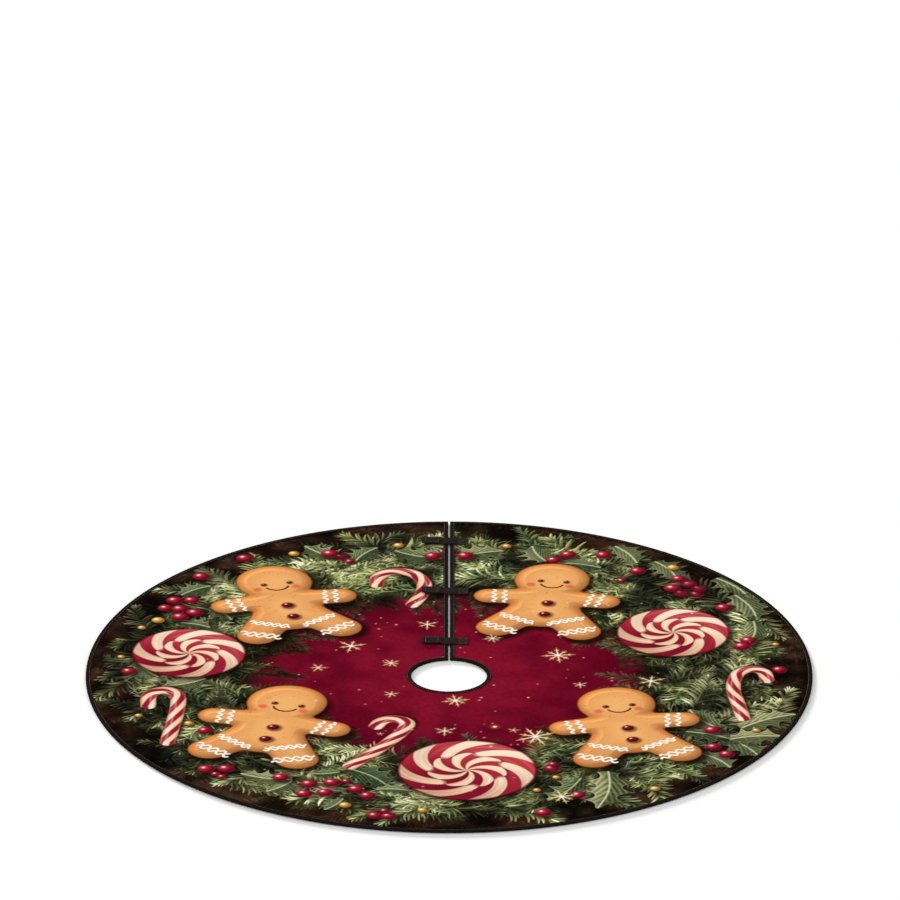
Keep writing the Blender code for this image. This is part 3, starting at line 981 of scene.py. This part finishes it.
def patch_base(name, low, high, floor, ceiling, material):
    """The woven ground of a hook or loop patch, between two heights."""
    x = np.linspace(low.x, high.x, 13)
    y = np.array([low.y, low.y + 0.0003, *np.linspace(low.y + 0.001, high.y - 0.001, 7),
                  high.y - 0.0003, high.y])
    lift = np.array([0.4, 0.85, *[1] * 7, 0.85, 0.4])
    rings = []
    for place in x:
        bed = lie(place, y)
        top = np.stack([np.full_like(y, place), y, bed + floor + (ceiling - floor) * lift], 1)
        low_side = np.stack([np.full_like(y, place), y, bed + floor + 0 * y], 1)
        rings.append(np.vstack([top, low_side[::-1]]))
    return loft(name, np.array(rings)[::-1], material)


def tufts(name, roots, shape, radius, material):
    """Copies of a bent filament, each from its root, turned and sized by it."""
    places, turns, sizes = (np.array(part) for part in zip(*roots))
    cosine, sine, none = np.cos(turns), np.sin(turns), np.zeros_like(turns)
    out = np.stack([cosine, sine, none], 1)[:, None]
    side = np.stack([-sine, cosine, none], 1)[:, None]
    reach, rise = (np.array(shape) * sizes[:, None, None]).transpose(2, 0, 1)[..., None]
    lines = places[:, None] + out * reach + (0, 0, 1) * rise
    heading = np.gradient(lines, axis=1)
    heading /= np.linalg.norm(heading, axis=2)[..., None]
    return threads(name, lines, side, np.cross(heading, side), radius, 4, material)


def hook_patch(strap, material, random):
    """Hooks point down from their ground; the patch moves with its strap."""
    number, low, high = strap.number, strap.hook_low, strap.hook_high
    floor = high.z - GROUND
    ground = patch_base(f"hook_ground_{number}", low, high, floor, high.z, material)
    roots = []
    for x in np.arange(low.x + HOOK_START, high.x - PATCH_RIM, HOOK_ROW):
        for y in np.arange(low.y + HOOK_START, high.y - PATCH_RIM, HOOK_COLUMN):
            place = (x, y, floor + lie(x, y))
            roots.append((place, random.choice((0, math.pi)), random.uniform(0.9, 1.05)))
    crook = [(0, 0)]
    for way in np.linspace(0, 1.25 * math.pi, 7):
        crook.append((HOOK_BEND * (1 - math.cos(way)), -HOOK_STEM - HOOK_BEND * math.sin(way)))
    hooks = tufts(f"hooks_{number}", roots, crook, HOOK_THICK, material)
    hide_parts(f"hook_patch_{number}")
    for piece in (ground, hooks):
        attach(piece, f"closing_strap_{number}")


def loop_patch(strap, material, random):
    """A brushed pile of small loops that stands up from its ground."""
    number, low, high = strap.number, strap.loop_low, strap.loop_high
    top = low.z + GROUND
    ground = patch_base(f"loop_ground_{number}", low, high, low.z, top, material)
    roots = []
    for _ in range(LOOPS):
        x = random.uniform(low.x + PATCH_RIM, high.x - PATCH_RIM)
        y = random.uniform(low.y + PATCH_RIM, high.y - PATCH_RIM)
        place = (x, y, top - LOOP_THICK + lie(x, y))
        roots.append((place, random.uniform(0, math.tau), random.uniform(0.7, 1.15)))
    ways = np.linspace(0, math.pi, 6)
    arch = [(LOOP_REACH * math.cos(way), LOOP_RISE * math.sin(way)) for way in ways]
    loops = tufts(f"loops_{number}", roots, arch, LOOP_THICK, material)
    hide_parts(f"loop_patch_{number}")
    for piece in (ground, loops):
        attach(piece, "skirt")


def box_of(low_x, high_x, low_y, high_y):
    return [(low_x, low_y), (high_x, low_y), (high_x, high_y), (low_x, high_y), (low_x, low_y)]


def box_in(low, high, inset):
    """A box's outline seen from above, set in on all sides."""
    return box_of(low.x + inset, high.x - inset, low.y + inset, high.y - inset)


def strap_seams(strap, material):
    """A crossed box through the sewn end, and a seam round each patch."""
    number, inset, end_inset, side_inset = strap.number, 0.0018, 0.0022, 0.0025
    half = STRAP_WIDTH / 2 - side_inset
    low_y, high_y = strap.middle - half, strap.middle + half
    near, far = strap.line + end_inset, strap.root - end_inset

    def on_strap(x):
        return strap.underside(x) + strap.top - strap.low + 0.3 * THREAD

    def on_loops(x):
        return strap.loop_low.z + GROUND + 0.0001

    def beneath(x):
        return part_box("lining_leaf")[0].z - 0.2 * THREAD

    runs = []
    for route in (box_of(near, far, low_y, high_y), [(near, low_y), (far, high_y)],
                  [(near, high_y), (far, low_y)]):
        runs += stitch_line(route, on_strap, SHORT_STITCH)
        runs += stitch_line(route, beneath, SHORT_STITCH)
    ends = stitches(f"sewn_end_thread_{number}", runs, material)
    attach(ends, "leaf")
    frame = box_in(strap.hook_low, strap.hook_high, inset)
    runs = stitch_line(frame, on_strap, SHORT_STITCH)
    seam = stitches(f"hook_thread_{number}", runs, material)
    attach(seam, f"closing_strap_{number}")
    frame = box_in(strap.loop_low, strap.loop_high, inset / 2)
    runs = stitch_line(frame, on_loops, SHORT_STITCH) + stitch_line(frame, beneath, SHORT_STITCH)
    seam = stitches(f"loop_thread_{number}", runs, material)
    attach(seam, "skirt")


# ---------------------------------------------------------------- materials


class Nodes:
    """A short way to write a material's nodes."""

    def __init__(self, name, roughness, specular):
        self.material = bpy.data.materials.new(name)
        self.material.use_nodes = True
        self.tree = self.material.node_tree
        self.shader = self.tree.nodes["Principled BSDF"]
        self.shader.inputs["Roughness"].default_value = roughness
        self.shader.inputs["Specular IOR Level"].default_value = specular

    def add(self, kind, values=None, **settings):
        node = self.tree.nodes.new(kind)
        for key, value in settings.items():
            setattr(node, key, value)
        for key, value in (values or {}).items():
            if isinstance(value, bpy.types.NodeSocket):
                self.tree.links.new(value, node.inputs[key])
            else:
                node.inputs[key].default_value = value
        return node

    def place(self):
        return self.add("ShaderNodeTexCoord").outputs["Object"]

    def noise(self, scale, detail):
        return self.add("ShaderNodeTexNoise", {
            "Vector": self.place(), "Scale": scale, "Detail": detail}).outputs["Fac"]

    def math(self, operation, *values):
        return self.add("ShaderNodeMath", dict(enumerate(values)), operation=operation).outputs[0]

    def ramp(self, value, low, high):
        """A colour between two, by a value from 0 to 1."""
        node = self.add("ShaderNodeMix", {0: value}, data_type="RGBA")
        node.inputs[6].default_value, node.inputs[7].default_value = (*low, 1), (*high, 1)
        return node.outputs[2]

    def wave(self, distance, pitch):
        return self.math("SINE", self.math("MULTIPLY", distance, math.tau / pitch))

    def waves(self, pitch_x, pitch_y):
        """Waves along x and along y."""
        split = self.add("ShaderNodeSeparateXYZ", {0: self.place()})
        return self.wave(split.outputs[0], pitch_x), self.wave(split.outputs[1], pitch_y)

    def weave(self, pitch):
        """A plain weave along x and y: each thread goes over and under the next."""
        warp, weft = self.waves(2 * pitch, 2 * pitch)
        return self.math("ABSOLUTE", self.math("MULTIPLY", warp, weft))

    def bump(self, height, distance):
        node = self.add("ShaderNodeBump", {"Height": height, "Strength": 1.0, "Distance": distance})
        self.tree.links.new(node.outputs[0], self.shader.inputs["Normal"])

    def colour(self, socket):
        self.tree.links.new(socket, self.shader.inputs["Base Color"])
        return self.material


def printed_material():
    """Woven polyester with the print sunk into it, and painted shade that makes the weave's hollows
    a little darker.
    """
    nodes = Nodes("printed_polyester", 0.9, 0.0)
    ink = nodes.add("ShaderNodeAttribute", attribute_name="print").outputs["Color"]
    # Painted shade: the print is slightly darker in the weave's hollows than on its crossings,
    # following the bump. The slub is the yarn's own uneven tone.
    thread = nodes.math("MULTIPLY_ADD", nodes.weave(0.0011), 0.06, 0.97)
    slub = nodes.math("MULTIPLY_ADD", nodes.noise(420, 3), 0.16, 0.92)
    shade = nodes.math("MULTIPLY", thread, slub)
    shade = nodes.math("DIVIDE", shade, PAPER_LIGHT)
    # The print times the painted weave shade, the slub and the paper light.
    ink_with_weave_shade = nodes.add("ShaderNodeVectorMath", {0: ink, 1: shade}, operation="MULTIPLY")
    nodes.bump(nodes.weave(0.0011), 0.00004)
    return nodes.colour(ink_with_weave_shade.outputs[0])


def lining_material():
    nodes = Nodes("plain_lining", 0.9, 0.15)
    nodes.bump(nodes.weave(0.0009), 0.00006)
    return nodes.colour(nodes.ramp(nodes.noise(35, 4), (0.44, 0.42, 0.37), (0.53, 0.51, 0.46)))


def tape_material():
    nodes = Nodes("binding_tape", 0.85, 0.0)
    along = nodes.add("ShaderNodeAttribute", attribute_name="along").outputs["Fac"]
    ribs = nodes.math("MULTIPLY_ADD", nodes.wave(along, 0.0006), 0.5, 0.5)
    nodes.bump(ribs, 0.00005)
    # The yarn's own mottle, plus painted shade: darker in the hollows between the ribs, following
    # the bump.
    mottle_and_rib_shade = nodes.math("MULTIPLY_ADD", nodes.noise(900, 2), 0.5, nodes.math("MULTIPLY", ribs, 0.5))
    return nodes.colour(nodes.ramp(mottle_and_rib_shade, (0.006, 0.004, 0.003), (0.022, 0.015, 0.012)))


def webbing_material():
    """Ribbed strap: each rib runs across it, with painted shade that darkens the hollows between the
    ribs.
    """
    nodes = Nodes("strap_webbing", 0.85, 0.0)
    ribs, cross = nodes.waves(0.0012, 0.0008)
    weave = nodes.math("MULTIPLY_ADD", cross, 0.2, nodes.math("MULTIPLY_ADD", ribs, 0.4, 0.5))
    nodes.bump(weave, 0.00008)
    # Painted shade: the colour is darker in the hollows between the ribs, in the same pattern as the
    # bump.
    return nodes.colour(nodes.ramp(weave, (0.010, 0.007, 0.006), (0.034, 0.026, 0.022)))


def plain_material(name, roughness, specular, scale, low, high):
    """One colour with a fine mottle, between a darker and a lighter one."""
    nodes = Nodes(name, roughness, specular)
    return nodes.colour(nodes.ramp(nodes.noise(scale, 2), low, high))


# ---------------------------------------------------------------- the scene


def build_cloths(art, materials):
    """Both layers, each as the main part and the leaf that folds back."""
    for part in ("main", "leaf"):
        leaf = part == "leaf"
        face_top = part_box(f"face_cloth_{part}")[1].z
        lining_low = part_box(f"lining_{part}")[0].z
        face = printed_cloth(f"printed_cloth_{part}", leaf, face_top, art, materials["print"])
        lining = cloth(f"lining_cloth_{part}", leaf, LINING_STEP, lining_low, LINING_STEP,
                       materials["lining"], sag=LINING_SAG)[0]
        for piece, node in ((face, f"face_cloth_{part}"), (lining, f"lining_{part}")):
            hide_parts(node)
            follow(piece, leaf)


def follow(piece, leaf):
    """The main part is attached to the skirt; the leaf keeps its place, with its transform baked
    into its mesh.
    """
    if leaf:
        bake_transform(piece)
    else:
        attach(piece, "skirt")


def build_edges(materials):
    for part in ("main", "leaf"):
        leaf = part == "leaf"
        cad_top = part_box(f"rim_binding_{part}")[1].z
        tape = edge_tape(f"edge_tape_{part}", leaf, cad_top, materials["tape"])
        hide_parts(f"rim_binding_{part}", f"hole_binding_{part}", f"slit_binding_{part}")
        follow(tape, leaf)
        seam = stitches(f"edge_thread_{part}", edge_seam(leaf, cad_top),
                        materials["thread"])
        follow(seam, leaf)


def build_straps(materials, random):
    for number in (1, 2, 3):
        strap = Strap(number)
        webbing(strap, materials["webbing"])
        hook_patch(strap, materials["hook"], random)
        loop_patch(strap, materials["loop"], random)
        strap_seams(strap, materials["thread"])


def build_floor():
    nodes = Nodes("floor", 0.9, 0.1)
    nodes.shader.inputs["Base Color"].default_value = (0.90, 0.90, 0.885, 1)
    size, drop = 9.0, 0.0004
    corners = [(-size, -size, -drop), (size, -size, -drop), (size, size, -drop),
               (-size, size, -drop)]
    mesh = bpy.data.meshes.new("floor")
    mesh.from_pydata(corners, [], [(0, 1, 2, 3)])
    mesh.materials.append(nodes.material)
    floor = bpy.data.objects.new("floor", mesh)
    bpy.context.scene.collection.objects.link(floor)


def aimed(data, place, target):
    """A lamp or a camera at a place, turned to a target."""
    thing = bpy.data.objects.new(data.name, data)
    bpy.context.scene.collection.objects.link(thing)
    thing.location = place
    thing.rotation_euler = (Vector(target) - Vector(place)).to_track_quat("-Z", "Y").to_euler()
    return thing


def build_lights():
    """Soft white light all round, and a low soft sun from the back left."""
    world = bpy.data.worlds.new("studio")
    world.use_nodes = True
    background = world.node_tree.nodes["Background"]
    background.inputs["Color"].default_value = (0.985, 0.99, 1.0, 1)
    background.inputs["Strength"].default_value = 0.80
    bpy.context.scene.world = world
    sun = bpy.data.lights.new("window", "SUN")
    sun.energy = 5.2
    sun.angle = math.radians(9)
    sun.color = (1.0, 0.985, 0.95)
    aimed(sun, (-0.9, 2.3, 0.5), (0, 0, 0))


def build_camera():
    """A far camera with a long lens, which looks down by 25 degrees at a point above
    the skirt, where the tree would stand."""
    rise, distance, above, right = math.radians(25.25), 60.0, 0.3810, 0.0015
    place = Vector((0, -math.cos(rise), math.sin(rise))) * distance
    up = Vector((0, math.sin(rise), math.cos(rise)))
    data = bpy.data.cameras.new("camera")
    data.sensor_width = 36
    data.lens = 1430.0
    data.clip_end = 200
    bpy.context.scene.camera = aimed(data, place, up * above + Vector((right, 0, 0)))


def main():
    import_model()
    materials = {
        "print": printed_material(),
        "lining": lining_material(),
        "tape": tape_material(),
        "webbing": webbing_material(),
        "hook": plain_material("hook_nylon", 0.45, 0.4, 900,
                               (0.012, 0.009, 0.008), (0.03, 0.024, 0.02)),
        "loop": plain_material("loop_nylon", 0.95, 0.1, 1500,
                               (0.014, 0.011, 0.01), (0.045, 0.036, 0.032)),
        "thread": plain_material("thread", 0.6, 0.3, 700,
                                 (0.02, 0.013, 0.010), (0.05, 0.036, 0.028)),
    }
    build_cloths(paint_print(), materials)
    build_edges(materials)
    build_straps(materials, np.random.default_rng(PATCH_SEED))
    build_floor()
    build_lights()
    build_camera()
    bpy.context.scene.view_settings.view_transform = "Standard"


main()
